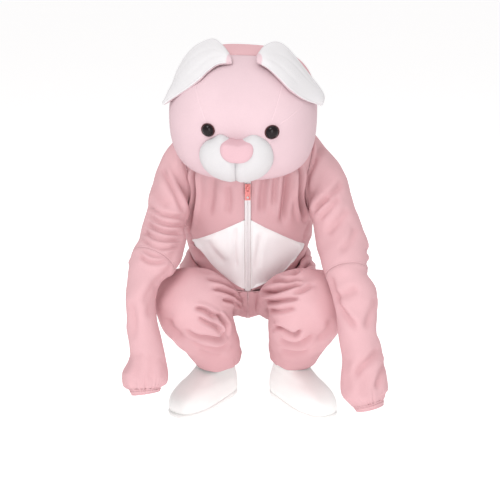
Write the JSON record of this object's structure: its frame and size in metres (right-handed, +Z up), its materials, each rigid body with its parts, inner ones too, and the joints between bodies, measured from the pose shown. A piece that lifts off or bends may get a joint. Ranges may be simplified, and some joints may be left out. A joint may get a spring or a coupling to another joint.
{
  "type": "bunny costume",
  "caption": "Hollow bunny costume in a crouch: pink zip jumpsuit with a white belly, plush head mask with folded ears, and white boots.",
  "frame": {"origin": "between the shoulders inside the neck, where the wearer's body holds the costume up", "axes": "+Z up, -Y the way the costume faces, +X towards the viewer's right"},
  "size_m": [0.6875, 0.6339, 1.0405],
  "materials": {
    "fleece": "dusty pink fleece, matte",
    "light_plush": "light pink short plush, matte",
    "white_plush": "white short plush, matte",
    "nose_pink": "pink short plush, matte",
    "rubber": "off-white, smooth, slightly glossy",
    "coral": "coral red, satin",
    "tape": "off-white woven tape",
    "black": "black, glossy"
  },
  "bodies": {
    "costume": {"back_panel": "fleece", "belly_left": "white_plush", "belly_right": "white_plush", "boot_sole_left": "rubber", "boot_sole_right": "rubber", "boot_upper_left": "rubber", "boot_upper_right": "rubber", "cuff_left": "fleece", "cuff_right": "fleece", "ear_backing_left": "light_plush", "ear_backing_right": "light_plush", "ear_lining_left": "white_plush", "ear_lining_right": "white_plush", "eye_left": "black", "eye_right": "black", "front_left": "fleece", "front_right": "fleece", "head_back": "fleece", "head_face": "light_plush", "leg_left": "fleece", "leg_right": "fleece", "muzzle_left": "white_plush", "muzzle_right": "white_plush", "nose": "nose_pink", "sleeve_lower_left": "fleece", "sleeve_lower_right": "fleece", "sleeve_upper_left": "fleece", "sleeve_upper_right": "fleece", "zip_slider": "coral", "zip_tape": "tape"},
    "zip_pull": {"zip_pull": "coral"}
  },
  "joints": [
    {"name": "zip_pull_hinge", "type": "hinge", "parent": "costume", "child": "zip_pull", "pos_m": [0, -0.1184, -0.0606], "axis": [-1, 0, 0], "range_deg": [-5, 90]}
  ]
}
